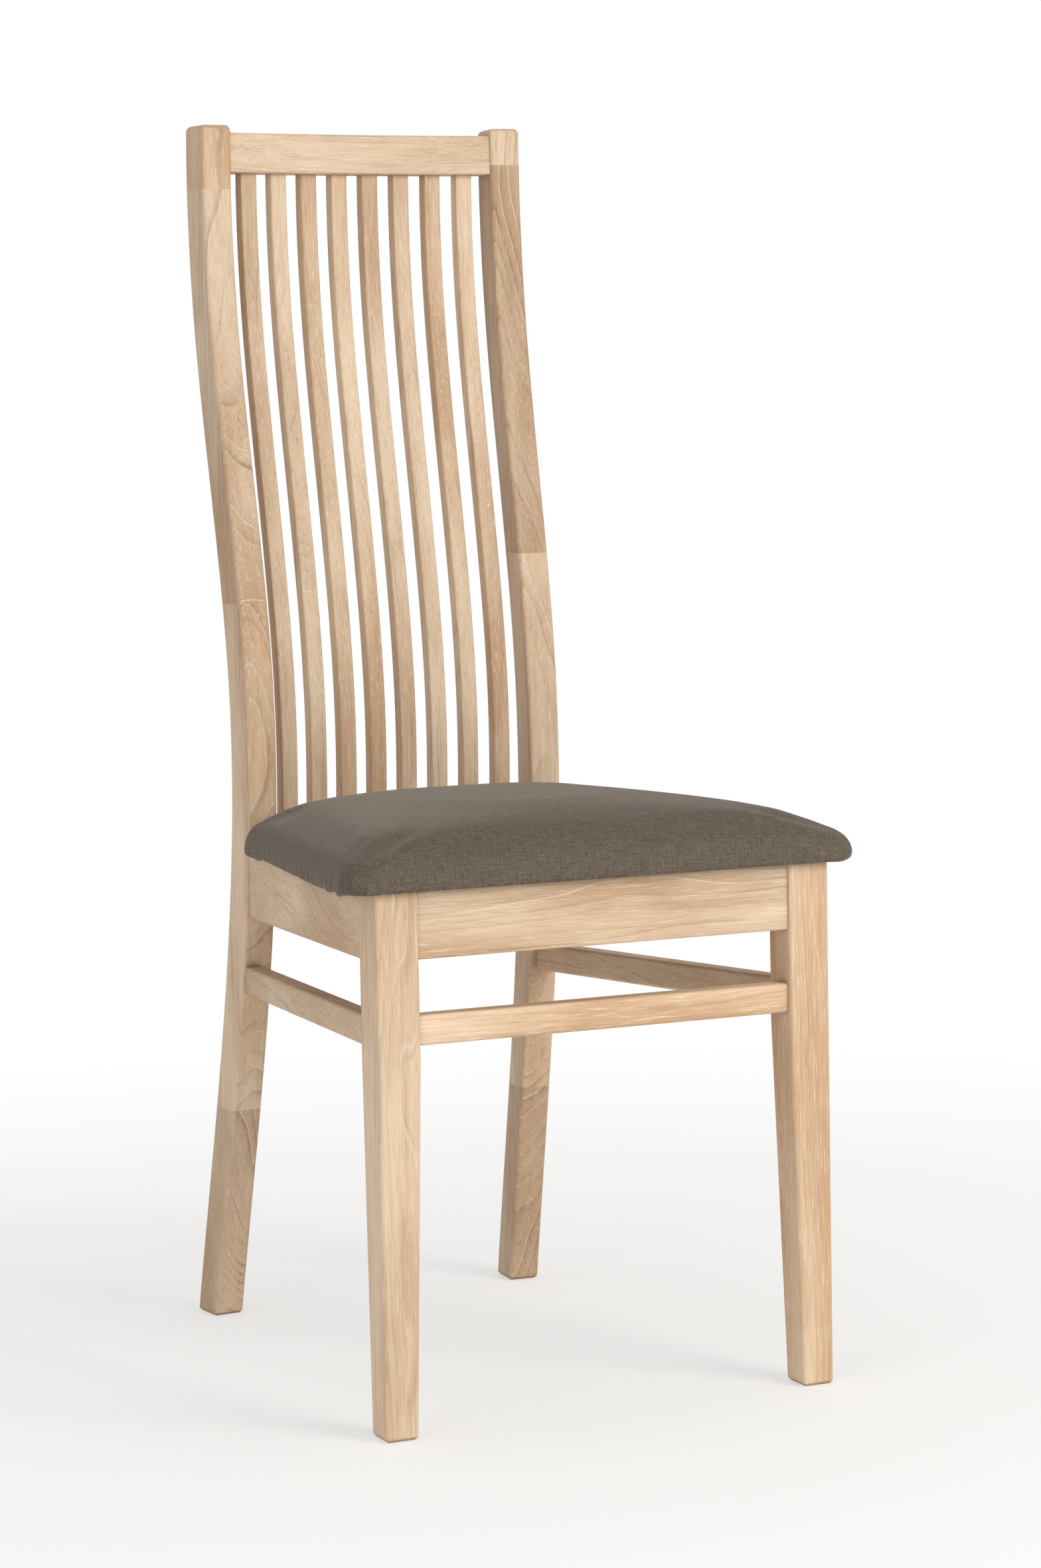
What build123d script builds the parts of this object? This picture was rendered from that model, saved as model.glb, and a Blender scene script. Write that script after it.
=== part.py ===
from build123d import *
import os
from math import atan2, cos, degrees, hypot, radians, sin, sqrt, tan

# Dining chair: oak frame with a high slatted back, and an upholstered seat pad.
# Millimetres. X to the sitter's left, Y from front to back, Z up.
# The origin is on the floor, under the middle of the chair's outer box.

os.makedirs("parts", exist_ok=True)

# ---------------------------------------------------------------- driving sizes
# overall
chair_height = 1070.0
chair_depth = 545.0         # front of the pad to the back of the rear feet
front_width = 406.0         # over the outer faces of the front legs
rear_width = 309.0          # over the outer faces of the rear legs, at the floor, on the waist line
seat_height = 440.0         # top of the seat frame at the front legs
seat_fall = 0.95            # degrees that the seat frame and the pad fall towards the back
rail_fall = 1.6             # degrees that the lower edges and the stretchers fall
seat_run = 402.0            # front of the front legs to the front of the rear legs at their waist

# front legs
front_leg_width = 37.0
front_leg_depth = 36.0
front_foot_width = 28.0
front_foot_depth = 31.0
taper_start = 9.0           # below the stretchers: the inner two faces taper from here down

# rear legs
rear_leg_width = 28.4
rear_leg_depth = 35.5
rear_leg_turn = 4.9         # degrees that each leg faces in towards the sitter
rear_leg_lean = 0.34        # degrees that each leg leans in towards the top
waist_rise = 75.0           # above the seat frame, where the rear legs come furthest forward
foot_rake = 92.0            # how far the foot stands behind the waist
foot_curve = 0.7            # 0 gives a plain parabola below the waist, more holds the curve higher
back_rake = 67.0            # how far the top stands behind the waist
back_straight = 70.0        # length at the top where the rear legs are straight again

# top rail and rear apron, both sawn to one shallow curve
back_rail_thickness = 28.0
back_rail_set_back = 3.5    # behind the front faces of the rear legs
back_hollow = 11.0          # depth of the curve over the width between the legs
top_rail_height = 35.0
top_rail_drop = 6.5         # below the tops of the rear legs

# slats
slat_count = 8
slat_width = 15.5
slat_thickness = 13.5
slat_set_back_top = 10.8    # behind the front faces of the rear legs, at the top rail
slat_set_back_seat = 16.0   # the same at the rear apron
slat_tenon = (10.0, 8.0, 8.0)   # width, thickness, length

# aprons and stretchers
apron_height = 56.0         # at the front
apron_thickness = 20.0
front_apron_set_back = 3.0
side_rail_set_back = 2.0
stretcher_height = 24.5
stretcher_thickness = 18.0
front_stretcher_set_back = 4.0
stretcher_drop = 125.0      # top of the frame to the bottom of the stretchers
stretcher_tenon = (10.0, 16.0, 12.0)    # thickness, height, length

# edges eased with a cutter
leg_ease = 3.0
rail_ease = 2.0
slat_ease = 1.6
leg_top_ease = 5.0
foot_ease = 2.5

# dowels
dowel_diameter = 8.0
dowel_length = 30.0
dowel_in_leg = 12.0         # the rest is in the rail
dowel_end_gap = 1.0
dowel_bevel = 0.8
apron_dowel_pitch = 24.0
top_rail_dowel_pitch = 15.0

# corner blocks and screws
block_height = 22.0
block_drop = 5.0            # below the top of the frame
block_reach = 52.0          # along each apron, from the leg
block_seat = 12.0           # wood left under a screw head
block_screw = (4.0, 28.0, 8.0, 3.0)     # shank diameter, length, head diameter, head height
seat_screw = (4.5, 38.0, 9.0, 3.5)
screw_clearance = 0.5       # on the diameter

# seat pad
pad_overhang_front = 14.0
pad_overhang_side = 32.0
pad_rear_overhang = 10.0
pad_clearance = 1.0         # in front of the rear legs
pad_edge = 44.0             # height of the pad where its top starts to turn down
pad_crown = 60.0            # height of the pad in the middle
pad_corner = 30.0
pad_rear_corner = 27.0
pad_shoulder = 17.0         # radius from top to side
pad_foot = 9.0              # radius from side to underside
cover_thickness = 1.2
cover_return = 42.0         # width of fabric turned under the board
board_thickness = 12.0
board_inset = 11.0
dust_cover_thickness = 0.6
staple = (10.0, 1.2, 0.6, 7.0)      # crown, wire width, wire thickness, leg length
staple_spacing = 42.0
staple_inset = 5.0          # in from the free edge of the turned fabric

# ---------------------------------------------------------------- shared geometry
waist_height = seat_height + waist_rise
back_curve_top = chair_height - back_straight
taper_height = seat_height - stretcher_drop - taper_start
front_y = pad_overhang_front - chair_depth / 2
waist_y = front_y + seat_run
leg_back_y = front_y + front_leg_depth
turn = radians(rear_leg_turn)
fall = tan(radians(seat_fall))
side_fall = tan(radians(rail_fall))
lean = tan(radians(rear_leg_lean))
front_inner_x = front_width / 2 - front_leg_width

# the top of the seat frame, which falls towards the back
frame_top = Plane(
    origin=(0, front_y, seat_height), x_dir=(1, 0, 0), z_dir=(0, fall, 1)
)

# side view of a rear leg: X runs back from the waist, Y up the leg, Z out of the chair
leg_plane = Plane(
    origin=(rear_width / 2, waist_y, 0),
    x_dir=(sin(turn), cos(turn), 0),
    z_dir=(cos(turn), -sin(turn), lean),
)


def leg_curve(height):
    """How far behind the waist the front of a rear leg stands at this height."""
    if height < waist_height:
        share = max(height, 0) / waist_height
        return foot_rake * (1 - share) ** 2 * (1 + foot_curve * share)
    share = min((height - waist_height) / (back_curve_top - waist_height), 1)
    return back_rake * share ** 2 * (3 - 2 * share)


def rear_leg_point(height, back, inwards):
    """Plan position on the right rear leg: back from its front face, in from its outer face."""
    run = leg_curve(height) + back
    return (
        rear_width / 2 - lean * height + run * sin(turn) - inwards * cos(turn),
        waist_y + run * cos(turn) + inwards * sin(turn),
    )


def between(low, high, count):
    """Evenly spread values from low to high."""
    return [low + (high - low) * step / (count - 1) for step in range(count)]


def side_profile(set_back_low, set_back_high, depth, low, high):
    """The S of a leg or slat seen from the side, between two heights."""
    def front(height):
        share = (height - low) / (high - low)
        return leg_curve(height) + set_back_low + (set_back_high - set_back_low) * share

    heights = between(low, high, 12)
    with BuildSketch() as profile:
        with BuildLine():
            face = Spline(*[(front(h), h) for h in heights])
            rear = Spline(*[(front(h) + depth, h) for h in heights])
            Line(face @ 0, rear @ 0)
            Line(face @ 1, rear @ 1)
        make_face()
    return profile.sketch


def long_edges(piece, length):
    """The edges of a piece that are at least this long."""
    return piece.edges().filter_by(lambda edge: edge.length > length)


# ---------------------------------------------------------------- rear leg, before joints
with BuildPart() as rear_leg_blank:
    with BuildSketch(leg_plane):
        add(side_profile(0, 0, rear_leg_depth, -foot_ease, chair_height))
    extrude(amount=-rear_leg_width)
    split(bisect_by=Plane.XY, keep=Keep.TOP)

# ---------------------------------------------------------------- curved rails of the back
top_rail_low = chair_height - top_rail_drop - top_rail_height
rear_apron_high = seat_height - fall * (seat_run + back_rail_set_back)
rear_apron_low = rear_apron_high - apron_height


# inner faces of the two rear legs
right_leg_inside = leg_plane.offset(-rear_leg_width)
left_leg_inside = Plane(
    origin=(-right_leg_inside.origin.X, right_leg_inside.origin.Y, right_leg_inside.origin.Z),
    z_dir=(-cos(turn), -sin(turn), lean),
)


def back_rail_ends(height):
    """Where the front face of a curved rail meets the inner face of the right rear leg."""
    return rear_leg_point(height, back_rail_set_back, rear_leg_width)


def back_rail(low, height):
    """A rail sawn to the curve of the back and cut to the inner faces of the rear legs."""
    end_x, end_y = back_rail_ends(low + height / 2)
    radius = (end_x ** 2 + back_hollow ** 2) / (2 * back_hollow)
    hollow_y = end_y + back_hollow
    with BuildPart() as rail:
        with BuildSketch(Plane.XY.offset(low)):
            with Locations((0, hollow_y - radius)):
                Circle(radius + back_rail_thickness)
                Circle(radius, mode=Mode.SUBTRACT)
            with Locations((0, hollow_y)):
                Rectangle(
                    2 * end_x + rear_leg_width,
                    2 * (back_hollow + back_rail_thickness),
                    mode=Mode.INTERSECT,
                )
        extrude(amount=height)
        split(bisect_by=right_leg_inside, keep=Keep.BOTTOM)
        split(bisect_by=left_leg_inside, keep=Keep.BOTTOM)
    return rail


top_rail_blank = back_rail(top_rail_low, top_rail_height)
rear_apron_blank = back_rail(rear_apron_low, apron_height)

# ---------------------------------------------------------------- side rails
apron_mid = seat_height - apron_height / 2
stretcher_mid = seat_height - stretcher_drop + stretcher_height / 2


def side_rail_plane(mid_height):
    """Outer face of the right side rail, given the height of its middle at the chair's front.

    X runs back along the rail from the front leg, Y across it, Z out of the chair.
    """
    start = (front_width / 2 - side_rail_set_back, leg_back_y)
    start_height = mid_height - side_fall * front_leg_depth
    end = rear_leg_point(mid_height - side_fall * seat_run, 0, side_rail_set_back)
    run = (end[0] - start[0], end[1] - start[1])
    return Plane(
        origin=(start[0], start[1], start_height),
        x_dir=(run[0], run[1], -side_fall * run[1]),
        z_dir=(run[1], -run[0], 0),
    ), hypot(*run)


def side_rail(plane, length, low, high, thickness):
    """A side rail coped to the front face of the rear leg, with its edges at low and high."""
    spare = rear_leg_depth / 2
    with BuildPart() as rail:
        with BuildSketch(plane):
            with Locations((length / 2, (low + high) / 2)):
                Rectangle(length + 2 * spare, high - low)
        extrude(amount=-thickness)
        split(bisect_by=frame_top, keep=Keep.BOTTOM)
        split(bisect_by=Plane.XZ.offset(-leg_back_y), keep=Keep.BOTTOM)
        add(rear_leg_blank.part, mode=Mode.SUBTRACT)
    return rail


apron_plane, apron_run = side_rail_plane(apron_mid)
stretcher_plane, stretcher_run = side_rail_plane(stretcher_mid)
side_apron_blank = side_rail(
    apron_plane, apron_run, -apron_height / 2, apron_height, apron_thickness
)
side_stretcher_blank = side_rail(
    stretcher_plane, stretcher_run, -stretcher_height / 2, stretcher_height / 2, stretcher_thickness
)

# ---------------------------------------------------------------- joints
# every dowel's place is a frame whose Z axis runs along it, into the leg


def pair(pitch):
    """Two offsets either side of the middle."""
    return (-pitch / 2, pitch / 2)


def dowel_place(joint, into_leg):
    """Frame of the middle of a dowel that crosses a joint in this direction."""
    return Plane(origin=joint, z_dir=into_leg).offset(dowel_in_leg - dowel_length / 2).location


front_apron_y = front_y + front_apron_set_back + apron_thickness / 2
front_apron_dowels = [
    dowel_place((front_inner_x, front_apron_y, apron_mid + dz), (1, 0, 0))
    for dz in pair(apron_dowel_pitch)
]


def side_apron_dowels(along, into_leg):
    """Dowel places at this distance along the right side apron."""
    return [
        dowel_place(apron_plane.from_local_coords((along, dy, -apron_thickness / 2)), into_leg)
        for dy in pair(apron_dowel_pitch)
    ]


def back_rail_dowels(mid, pitch):
    """Dowel places where a curved rail meets the right rear leg."""
    middle = back_rail_set_back + back_rail_thickness / 2
    return [
        dowel_place(rear_leg_point(height, middle, rear_leg_width) + (height,), leg_plane.z_dir)
        for height in (mid + dz for dz in pair(pitch))
    ]


front_side_dowels = side_apron_dowels(0, -apron_plane.x_dir)
rear_side_dowels = side_apron_dowels(apron_run, apron_plane.x_dir)
rear_apron_dowels = back_rail_dowels(rear_apron_low + apron_height / 2, apron_dowel_pitch)
top_rail_dowels = back_rail_dowels(top_rail_low + top_rail_height * 0.57, top_rail_dowel_pitch)


def drill_dowels(places):
    """Cut the holes of these dowels."""
    with Locations(*places):
        Cylinder(dowel_diameter / 2, dowel_length + 2 * dowel_end_gap, mode=Mode.SUBTRACT)


def drill_dowels_both_sides(places):
    """Cut the holes of these dowels and of their mirror images."""
    with BuildPart(mode=Mode.PRIVATE) as holes:
        with Locations(*places):
            Cylinder(dowel_diameter / 2, dowel_length + 2 * dowel_end_gap)
        mirror(about=Plane.YZ)
    add(holes.part, mode=Mode.SUBTRACT)


def stretcher_core(plane, length, thickness, gap):
    """The bar inside a stretcher whose ends are its tenons."""
    with BuildPart() as core:
        with BuildSketch(plane.offset(-thickness / 2)):
            with Locations((length / 2, 0)):
                Rectangle(length + 2 * (stretcher_tenon[2] + gap), stretcher_tenon[1])
        extrude(amount=stretcher_tenon[0] / 2, both=True)
    return core.part


front_stretcher_plane = Plane(
    origin=(-front_inner_x, front_y + front_stretcher_set_back, stretcher_mid),
    x_dir=(1, 0, 0),
    z_dir=(0, -1, 0),
)
side_tenons = stretcher_core(stretcher_plane, stretcher_run, stretcher_thickness, 0)
side_mortises = stretcher_core(stretcher_plane, stretcher_run, stretcher_thickness, dowel_end_gap)
front_tenons = stretcher_core(
    front_stretcher_plane, 2 * front_inner_x, stretcher_thickness, 0
)
front_mortises = stretcher_core(
    front_stretcher_plane, 2 * front_inner_x, stretcher_thickness, dowel_end_gap
)

# ---------------------------------------------------------------- slats
# each slat stands on its own upright plane, which fans out towards the top rail


def slat_spot(index, height, set_back):
    """Plan position of a slat's middle line, evenly spaced between the rear legs."""
    middle = set_back + slat_thickness / 2
    edge_x, edge_y = rear_leg_point(height, middle, rear_leg_width)
    pitch = (2 * edge_x + slat_width) / (slat_count + 1)
    x = (index - (slat_count - 1) / 2) * pitch
    return x, edge_y + back_hollow * (1 - (x / edge_x) ** 2)


def slat_plane(index):
    """Upright plane through the middle of a slat: X runs back, Y up."""
    low_x, low_y = slat_spot(index, rear_apron_high, slat_set_back_seat)
    high_x, high_y = slat_spot(index, top_rail_low, slat_set_back_top)
    angle = atan2(high_x - low_x, high_y - low_y)
    run = leg_curve(rear_apron_high) + slat_set_back_seat + slat_thickness / 2
    return Plane(
        origin=(low_x - run * sin(angle), low_y - run * cos(angle), 0),
        x_dir=(sin(angle), cos(angle), 0),
        z_dir=(cos(angle), -sin(angle), 0),
    )


def slat_tenons(plane, gap):
    """The two tenons of a slat, longer by the gap for their mortises."""
    width, thickness, length = slat_tenon
    with BuildPart() as tenons:
        for height, set_back, way in (
            (rear_apron_high, slat_set_back_seat, -1),
            (top_rail_low, slat_set_back_top, 1),
        ):
            run = leg_curve(height) + set_back + slat_thickness / 2
            with BuildSketch(plane):
                with Locations((run, height + way * (length + gap) / 2)):
                    Rectangle(thickness, length + gap)
            extrude(amount=width / 2, both=True)
    return tenons.part


slat_planes = [slat_plane(index) for index in range(slat_count)]
slats = []
for plane in slat_planes:
    with BuildPart() as slat:
        with BuildSketch(plane):
            add(side_profile(
                slat_set_back_seat, slat_set_back_top, slat_thickness,
                rear_apron_high, top_rail_low,
            ))
        extrude(amount=slat_width / 2, both=True)
        fillet(long_edges(slat, top_rail_low - rear_apron_high - 1), slat_ease)
        add(slat_tenons(plane, 0))
    slats.append(slat)

# ---------------------------------------------------------------- legs
with BuildPart() as rear_leg_right:
    add(rear_leg_blank.part)
    fillet(long_edges(rear_leg_right, chair_height - 2 * foot_ease), leg_ease)
    fillet(rear_leg_right.faces().sort_by(Axis.Z)[-1].edges(), leg_top_ease)
    chamfer(rear_leg_right.faces().sort_by(Axis.Z)[0].edges(), foot_ease)
    drill_dowels(rear_side_dowels + rear_apron_dowels + top_rail_dowels)
    add(side_mortises, mode=Mode.SUBTRACT)

with BuildPart() as front_leg_right:
    leg_section = (front_leg_width, front_leg_depth)
    section_middle = ((front_width - front_leg_width) / 2, front_y + front_leg_depth / 2)
    with BuildSketch():
        with Locations(((front_width - front_foot_width) / 2, front_y + front_foot_depth / 2)):
            RectangleRounded(front_foot_width, front_foot_depth, leg_ease)
    with BuildSketch(Plane.XY.offset(taper_height)):
        with Locations(section_middle):
            RectangleRounded(*leg_section, leg_ease)
    loft()
    with BuildSketch(Plane.XY.offset(taper_height)):
        with Locations(section_middle):
            RectangleRounded(*leg_section, leg_ease)
    extrude(amount=seat_height + 1 - taper_height)
    split(bisect_by=frame_top, keep=Keep.BOTTOM)
    chamfer(front_leg_right.faces().sort_by(Axis.Z)[0].edges(), foot_ease)
    drill_dowels(front_apron_dowels + front_side_dowels)
    add(front_mortises, mode=Mode.SUBTRACT)
    add(side_mortises, mode=Mode.SUBTRACT)

# ---------------------------------------------------------------- corner blocks
side_normal = apron_plane.z_dir


def inner_apron_x(y):
    """Inner face of the right side apron at this distance back."""
    start = apron_plane.origin - side_normal * apron_thickness
    way = apron_plane.x_dir
    return start.X + (y - start.Y) * way.X / way.Y


front_apron_back = front_y + front_apron_set_back + apron_thickness
rear_leg_front = rear_leg_point(rear_apron_high - block_drop, 0, rear_leg_width)
rear_rail_end = back_rail_ends(rear_apron_low + apron_height / 2)


def rear_apron_front(x):
    """Front face of the rear apron at this distance from the middle."""
    return rear_rail_end[1] + back_hollow * (1 - (x / rear_rail_end[0]) ** 2)


front_block_outline = [
    (front_inner_x - block_reach, front_apron_back),
    (front_inner_x, front_apron_back),
    (front_inner_x, leg_back_y),
    (inner_apron_x(leg_back_y), leg_back_y),
    (inner_apron_x(leg_back_y + block_reach), leg_back_y + block_reach),
]
rear_block_outline = [
    (inner_apron_x(rear_leg_front[1] - block_reach), rear_leg_front[1] - block_reach),
    (inner_apron_x(rear_leg_front[1] + rear_leg_depth / 3), rear_leg_front[1] + rear_leg_depth / 3),
    (rear_leg_front[0] - block_reach, rear_apron_front(rear_leg_front[0] - block_reach) + 8),
    (rear_leg_front[0] - block_reach, rear_apron_front(rear_leg_front[0] - block_reach)),
]
front_block_top = frame_top.offset(-block_drop)


def screw(sizes):
    """A screw that points along -Z, with the underside of its head at the origin."""
    shank, length, head, head_height = sizes
    with BuildPart() as piece:
        Cylinder(head / 2, head_height, align=(Align.CENTER, Align.CENTER, Align.MIN))
        fillet(piece.edges().filter_by(GeomType.CIRCLE).sort_by(Axis.Z)[-1], head_height * 0.6)
        Cylinder(shank / 2, length - shank, align=(Align.CENTER, Align.CENTER, Align.MAX))
        with Locations((0, 0, shank - length)):
            Cone(0.2 * shank, shank / 2, shank, align=(Align.CENTER, Align.CENTER, Align.MAX))
    return piece.part


def screw_seat(face_point, into):
    """Frame of a corner block screw that goes into an apron at this point of its face."""
    way = Vector(*into).normalized()
    return Plane(origin=Vector(*face_point) - way * block_seat, z_dir=-way).location


def block_middle(y):
    """Height of the middle of a corner block at this distance back."""
    return seat_height - fall * (y - front_y) - block_drop - block_height / 2


front_screw_x = front_inner_x - 0.67 * block_reach
side_screw_y = leg_back_y + 0.5 * block_reach
rear_screw_x = rear_leg_front[0] - 0.6 * block_reach
rear_side_screw_y = rear_leg_front[1] - 0.7 * block_reach
front_block_screws = [
    screw_seat((front_screw_x, front_apron_back, block_middle(front_apron_back)), (0, -1, 0)),
    screw_seat((inner_apron_x(side_screw_y), side_screw_y, block_middle(side_screw_y)), side_normal),
]
rear_block_screws = [
    screw_seat(
        (rear_screw_x, rear_apron_front(rear_screw_x), block_middle(rear_leg_front[1])), (0, 1, 0)
    ),
    screw_seat(
        (inner_apron_x(rear_side_screw_y), rear_side_screw_y, block_middle(rear_side_screw_y)),
        side_normal,
    ),
]


def seat_screw_place(x, y):
    """Frame of a seat screw, whose head bears on the underside of a corner block."""
    under = frame_top.offset(-block_drop - block_height)
    low = under.origin.Z - fall * (y - under.origin.Y)
    return Plane(origin=(x, y, low), z_dir=-frame_top.z_dir).location


front_seat_screw = seat_screw_place(front_inner_x - 0.3 * block_reach, leg_back_y + 0.1 * block_reach)
rear_seat_y = waist_y - pad_clearance - board_inset - 2.5 * seat_screw[0]
rear_seat_screw = seat_screw_place(inner_apron_x(rear_seat_y) - 1.6 * seat_screw[0], rear_seat_y)


def corner_block(outline, block_screws, seat_screw_at):
    """A block that fills a corner of the seat frame, bored for its screws."""
    shank, length, head, head_height = block_screw
    with BuildPart() as block:
        with BuildSketch(Plane.XY.offset(seat_height - block_drop - 2 * block_height)):
            Polygon(*outline, align=None)
        extrude(amount=2 * block_height)
        split(bisect_by=front_block_top, keep=Keep.BOTTOM)
        split(bisect_by=front_block_top.offset(-block_height), keep=Keep.TOP)
        add(rear_leg_blank.part, mode=Mode.SUBTRACT)
        add(rear_apron_blank.part, mode=Mode.SUBTRACT)
        with Locations(*block_screws):
            Cylinder(shank / 2, length, align=(Align.CENTER, Align.CENTER, Align.MAX),
                     mode=Mode.SUBTRACT)
            Cylinder(head / 2 + screw_clearance, block_reach,
                     align=(Align.CENTER, Align.CENTER, Align.MIN), mode=Mode.SUBTRACT)
        with Locations(seat_screw_at):
            Cylinder((seat_screw[0] + screw_clearance) / 2, 2 * seat_screw[1], mode=Mode.SUBTRACT)
    return block


corner_block_front_right = corner_block(front_block_outline, front_block_screws, front_seat_screw)
corner_block_rear_right = corner_block(rear_block_outline, rear_block_screws, rear_seat_screw)


def drill_block_screws(places):
    """Cut the pilot holes of these corner block screws."""
    with Locations(*places):
        Cylinder(block_screw[0] / 2, block_screw[1] + 1, align=(Align.CENTER, Align.CENTER, Align.MAX),
                 mode=Mode.SUBTRACT)


# ---------------------------------------------------------------- aprons, rails, stretchers
with BuildPart() as side_apron_right:
    add(side_apron_blank.part)
    fillet(long_edges(side_apron_right, apron_run / 2).sort_by(Axis.Z)[:2], rail_ease)
    drill_dowels(front_side_dowels + rear_side_dowels)
    drill_block_screws([front_block_screws[1], rear_block_screws[1]])

with BuildPart() as side_stretcher_right:
    add(side_stretcher_blank.part)
    fillet(long_edges(side_stretcher_right, stretcher_run / 2), leg_ease)
    add(side_tenons)

with BuildPart() as front_apron:
    with BuildSketch(Plane.XZ.offset(-front_y - front_apron_set_back)):
        with Locations((0, apron_mid + 0.5)):
            Rectangle(2 * front_inner_x, apron_height + 1)
    extrude(amount=-apron_thickness)
    split(bisect_by=frame_top, keep=Keep.BOTTOM)
    fillet(front_apron.edges().filter_by(Axis.X).group_by(Axis.Z)[0], rail_ease)
    drill_dowels_both_sides(front_apron_dowels)
    drill_block_screws(
        [front_block_screws[0], Plane(
            origin=Vector(-front_screw_x, front_apron_back + block_seat, block_middle(front_apron_back)),
            z_dir=(0, 1, 0),
        ).location]
    )

with BuildPart() as front_stretcher:
    with BuildSketch(front_stretcher_plane):
        with Locations((front_inner_x, 0)):
            Rectangle(2 * front_inner_x, stretcher_height)
    extrude(amount=-stretcher_thickness)
    fillet(front_stretcher.edges().filter_by(Axis.X), leg_ease)
    add(front_tenons)

slat_mortises = [slat_tenons(plane, dowel_end_gap) for plane in slat_planes]

with BuildPart() as top_rail:
    add(top_rail_blank.part)
    fillet(long_edges(top_rail, back_rail_ends(top_rail_low)[0]), rail_ease)
    drill_dowels_both_sides(top_rail_dowels)
    for mortise in slat_mortises:
        add(mortise, mode=Mode.SUBTRACT)

with BuildPart() as rear_apron:
    add(rear_apron_blank.part)
    fillet(long_edges(rear_apron, back_rail_ends(rear_apron_low)[0]), rail_ease)
    drill_dowels_both_sides(rear_apron_dowels)
    for mortise in slat_mortises:
        add(mortise, mode=Mode.SUBTRACT)
    with BuildPart(mode=Mode.PRIVATE) as pilots:
        with Locations(rear_block_screws[0]):
            Cylinder(block_screw[0] / 2, block_screw[1] + 1,
                     align=(Align.CENTER, Align.CENTER, Align.MAX))
        mirror(about=Plane.YZ)
    add(pilots.part, mode=Mode.SUBTRACT)

# ---------------------------------------------------------------- seat pad
# drawn on the top of the frame: X across, Y back, Z up out of the frame
pad_back = seat_run - pad_clearance
pad_corners = [
    (front_width / 2 + pad_overhang_side, -pad_overhang_front),
    (rear_leg_point(seat_height, 0, 0)[0] + pad_rear_overhang, pad_back),
]


def pad_outline(inset):
    """Sketch the plan of the pad, smaller all round by the inset."""
    (front_x, front), (rear_x, rear) = pad_corners
    slope = atan2(front_x - rear_x, rear - front)
    shift = inset * (1 / cos(slope) + tan(slope))
    back_shift = inset * (1 / cos(slope) - tan(slope))
    with BuildSketch(mode=Mode.PRIVATE) as outline:
        Polygon(
            (front_x - shift, front + inset), (rear_x - back_shift, rear - inset),
            (back_shift - rear_x, rear - inset), (shift - front_x, front + inset), align=None,
        )
        corners = outline.vertices().group_by(Axis.Y)
        fillet(corners[0], max(pad_corner - inset, 2))
        fillet(outline.vertices().group_by(Axis.Y)[-1], max(pad_rear_corner - inset, 2))
    add(outline.sketch)


def pad_form(inset):
    """The crowned form of the pad, smaller all round by the inset."""
    middle = (pad_corners[0][1] + pad_corners[1][1]) / 2
    reach = pad_corners[0][0]
    radius = (reach ** 2 + (pad_crown - pad_edge) ** 2) / (2 * (pad_crown - pad_edge))
    with BuildPart() as form:
        with BuildSketch(Plane.XY.offset(inset)):
            pad_outline(inset)
        extrude(amount=pad_crown)
        with Locations((0, middle, pad_crown - radius)):
            Sphere(radius - inset, mode=Mode.INTERSECT)
        fillet(form.faces().sort_by(Axis.Z)[0].edges(), pad_foot - inset)
        fillet(form.faces().sort_by(Axis.Z)[-1].edges(), pad_shoulder - inset)
    return form.part


def flat_sheet(inset, low, height):
    """A flat sheet with the outline of the pad, smaller all round by the inset."""
    with BuildPart() as sheet:
        with BuildSketch(Plane.XY.offset(low)):
            pad_outline(inset)
        extrude(amount=height)
    return sheet.part


on_frame = frame_top.location
outer_form = pad_form(0)
inner_form = pad_form(cover_thickness)
board_sheet = flat_sheet(board_inset, cover_thickness, board_thickness)
opening = flat_sheet(cover_return, -1, cover_thickness + 1)
dust_sheet = flat_sheet(cover_return + 0.5, cover_thickness - dust_cover_thickness, dust_cover_thickness)


def staple_places():
    """Frames of the staples on the turned fabric, Y along the edge, on top of the frame."""
    (front_x, front), (rear_x, rear) = pad_corners
    inset = cover_return - staple_inset
    places = []
    half = front_x - inset - pad_corner
    for x in between(-half, half, int(2 * half / staple_spacing) + 1):
        places.append(Location((x, front + inset, 0), (0, 0, 90)))
    half = rear_x - inset - pad_rear_corner
    for x in between(-half, half, int(2 * half / staple_spacing) + 1):
        places.append(Location((x, rear - inset, 0), (0, 0, 90)))
    slope = atan2(front_x - rear_x, rear - front)
    near = front + inset + pad_corner
    far = rear - inset - pad_rear_corner
    for y in between(near, far, int((far - near) / staple_spacing) + 1):
        x = front_x - (y - front) * tan(slope) - inset / cos(slope)
        places.append(Location((x, y, 0), (0, 0, degrees(slope))))
        places.append(Location((-x, y, 0), (0, 0, -degrees(slope))))
    return places


crown_length, wire_width, wire_thickness, leg_length = staple
with BuildPart() as cover_staples_flat:
    with Locations(*staple_places()):
        Box(wire_width, crown_length, wire_thickness, align=(Align.CENTER, Align.CENTER, Align.MIN))
        with Locations((0, pair(crown_length - wire_thickness)[0], 0),
                       (0, pair(crown_length - wire_thickness)[1], 0)):
            Box(wire_width, wire_thickness, leg_length, align=(Align.CENTER, Align.CENTER, Align.MIN))

with BuildPart() as seat_screws:
    for place in (front_seat_screw, rear_seat_screw):
        add(screw(seat_screw).moved(place))
    mirror(about=Plane.YZ)

with BuildPart() as cover_staples:
    add(cover_staples_flat.part.moved(on_frame))

with BuildPart() as seat_board:
    add(board_sheet.moved(on_frame))
    add(cover_staples.part, mode=Mode.SUBTRACT)
    add(seat_screws.part, mode=Mode.SUBTRACT)

with BuildPart() as foam_pad:
    add(inner_form.moved(on_frame))
    add(board_sheet.moved(on_frame), mode=Mode.SUBTRACT)

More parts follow.
